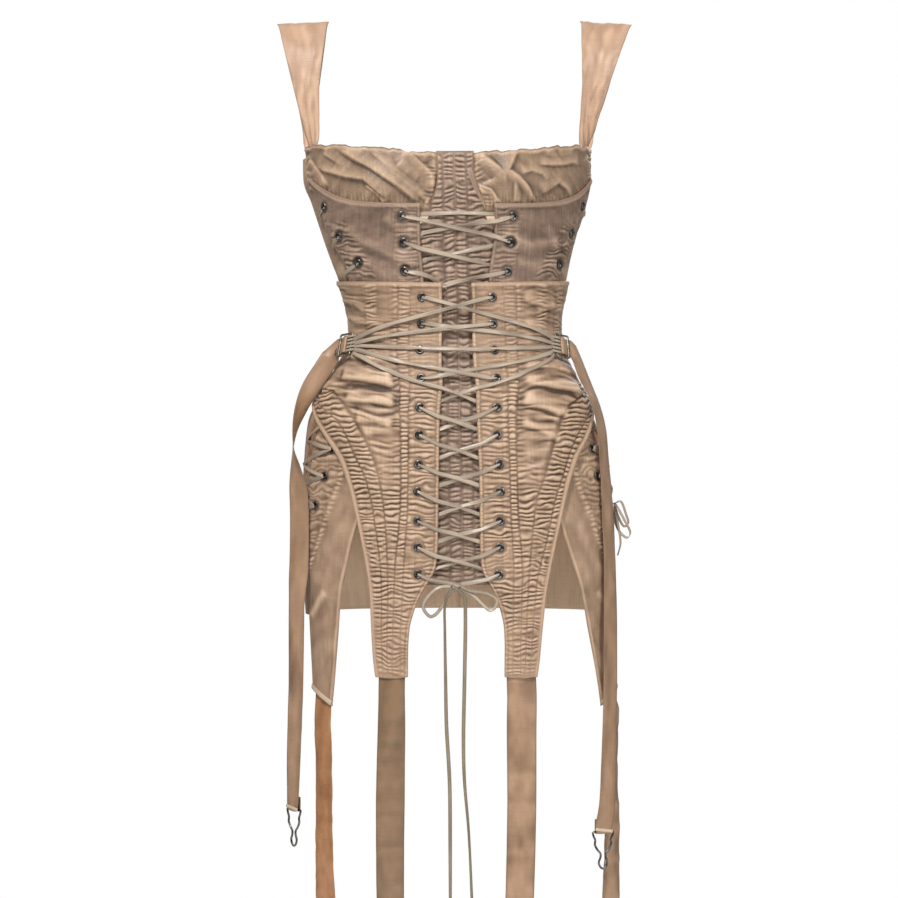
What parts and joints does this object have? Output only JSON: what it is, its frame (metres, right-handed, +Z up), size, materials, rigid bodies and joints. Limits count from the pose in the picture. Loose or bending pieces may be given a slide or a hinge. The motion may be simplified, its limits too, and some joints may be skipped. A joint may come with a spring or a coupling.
{
  "type": "corset dress",
  "caption": "Corset dress with broad shoulder straps, laced at the front and hips, with garter tabs, hanging ribbons and suspenders.",
  "frame": {"origin": "midway between the tops of the two shoulder straps", "axes": "+Z up, the front of the dress faces -Y, +X is the right of the picture"},
  "size_m": [0.383, 0.2266, 0.9933],
  "materials": {
    "dress_cloth": "satin",
    "satin_ribbon": "satin",
    "lacing_cord": "satin",
    "nickel_metal": "polished"
  },
  "bodies": {
    "root": {"centre_front": "dress_cloth", "cup_left": "dress_cloth", "bodice_front_left": "dress_cloth", "girdle_front_left": "dress_cloth", "side_hip_left": "dress_cloth", "back_left": "dress_cloth", "cup_right": "dress_cloth", "bodice_front_right": "dress_cloth", "girdle_front_right": "dress_cloth", "side_hip_right": "dress_cloth", "back_right": "dress_cloth", "strap_left": "satin_ribbon", "garter_ribbon_front_left": "satin_ribbon", "garter_ribbon_side_left": "satin_ribbon", "suspender_left": "satin_ribbon", "strap_right": "satin_ribbon", "garter_ribbon_front_right": "satin_ribbon", "garter_ribbon_side_right": "satin_ribbon", "suspender_right": "satin_ribbon", "lace_bodice": "lacing_cord", "lace_girdle": "lacing_cord", "lace_tail_left": "lacing_cord", "lace_hip_left": "lacing_cord", "lace_tail_right": "lacing_cord", "lace_hip_right": "lacing_cord", "suspender_clip_left": "nickel_metal", "waist_slide_left": "nickel_metal", "eyelet_bodice_left_1": "nickel_metal", "eyelet_bodice_left_2": "nickel_metal", "eyelet_bodice_left_3": "nickel_metal", "eyelet_girdle_left_1": "nickel_metal", "eyelet_girdle_left_2": "nickel_metal", "eyelet_girdle_left_3": "nickel_metal", "eyelet_girdle_left_4": "nickel_metal", "eyelet_girdle_left_5": "nickel_metal", "eyelet_girdle_left_6": "nickel_metal", "eyelet_girdle_left_7": "nickel_metal", "eyelet_girdle_left_8": "nickel_metal", "eyelet_girdle_left_9": "nickel_metal", "eyelet_girdle_left_10": "nickel_metal", "eyelet_girdle_left_11": "nickel_metal", "suspender_clip_right": "nickel_metal", "waist_slide_right": "nickel_metal", "eyelet_bodice_right_1": "nickel_metal", "eyelet_bodice_right_2": "nickel_metal", "eyelet_bodice_right_3": "nickel_metal", "eyelet_girdle_right_1": "nickel_metal", "eyelet_girdle_right_2": "nickel_metal", "eyelet_girdle_right_3": "nickel_metal", "eyelet_girdle_right_4": "nickel_metal", "eyelet_girdle_right_5": "nickel_metal", "eyelet_girdle_right_6": "nickel_metal", "eyelet_girdle_right_7": "nickel_metal", "eyelet_girdle_right_8": "nickel_metal", "eyelet_girdle_right_9": "nickel_metal", "eyelet_girdle_right_10": "nickel_metal", "eyelet_girdle_right_11": "nickel_metal"}
  },
  "joints": []
}
